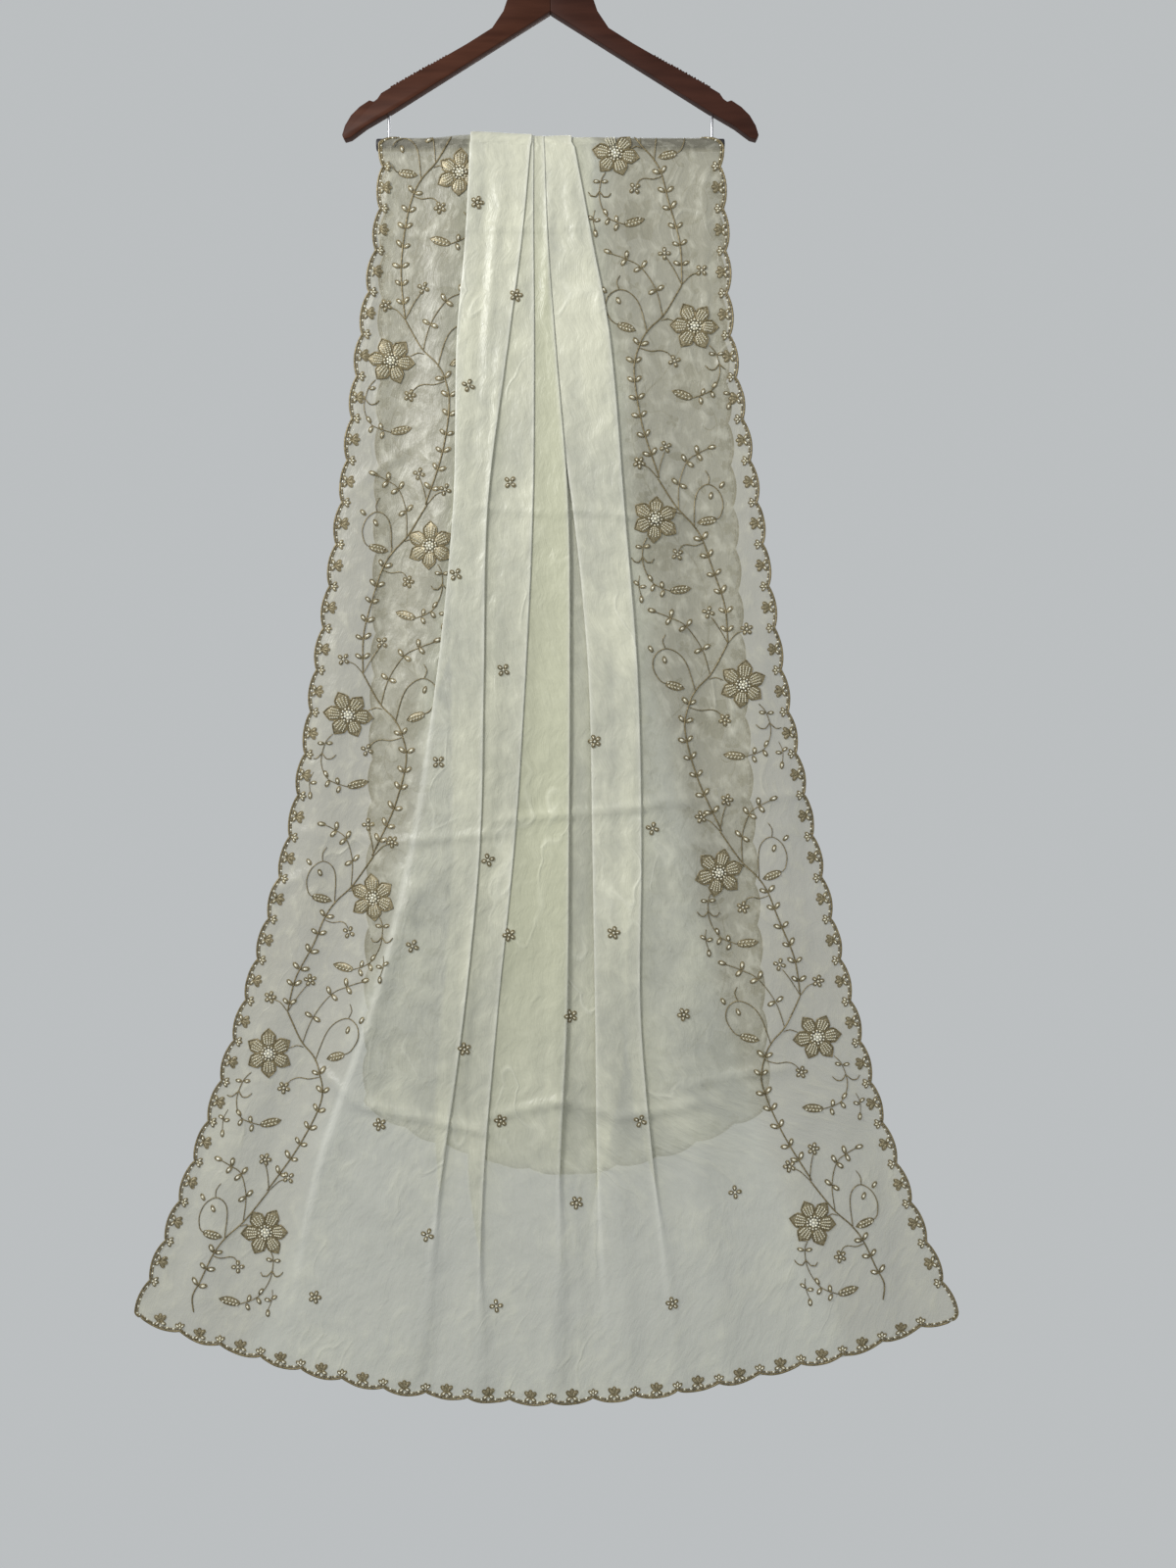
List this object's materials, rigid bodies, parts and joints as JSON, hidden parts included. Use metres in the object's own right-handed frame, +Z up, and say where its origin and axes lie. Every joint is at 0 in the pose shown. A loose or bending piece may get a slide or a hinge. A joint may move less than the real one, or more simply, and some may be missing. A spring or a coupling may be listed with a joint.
{
  "type": "dupatta stole on a wooden trouser-bar hanger",
  "caption": "Sheer embroidered dupatta stole, pleated and folded over the bar of a wooden hanger with a wire hook.",
  "frame": {"origin": "inside top of the hanger's hook, where a rail bears", "axes": "+Z up, the cloth's front face towards -Y, +X to the right seen from the front"},
  "size_m": [0.877, 0.0688, 1.5848],
  "materials": {
    "organza": "sheer tissue organza with a soft satin sheen",
    "edging": "scalloped gold bead and cord edging",
    "wood": "dark reddish varnish",
    "steel": "bright"
  },
  "bodies": {
    "root": {"cloth_front": "organza", "cloth_back": "organza", "edging_front_left": "edging", "edging_front_right": "edging", "edging_front_hem": "edging", "edging_back_left": "edging", "edging_back_right": "edging", "edging_back_hem": "edging", "hanger_arm_left": "wood", "hanger_arm_right": "wood", "hook": "steel", "rod_left": "steel", "rod_right": "steel", "trouser_bar": "steel"}
  },
  "joints": []
}
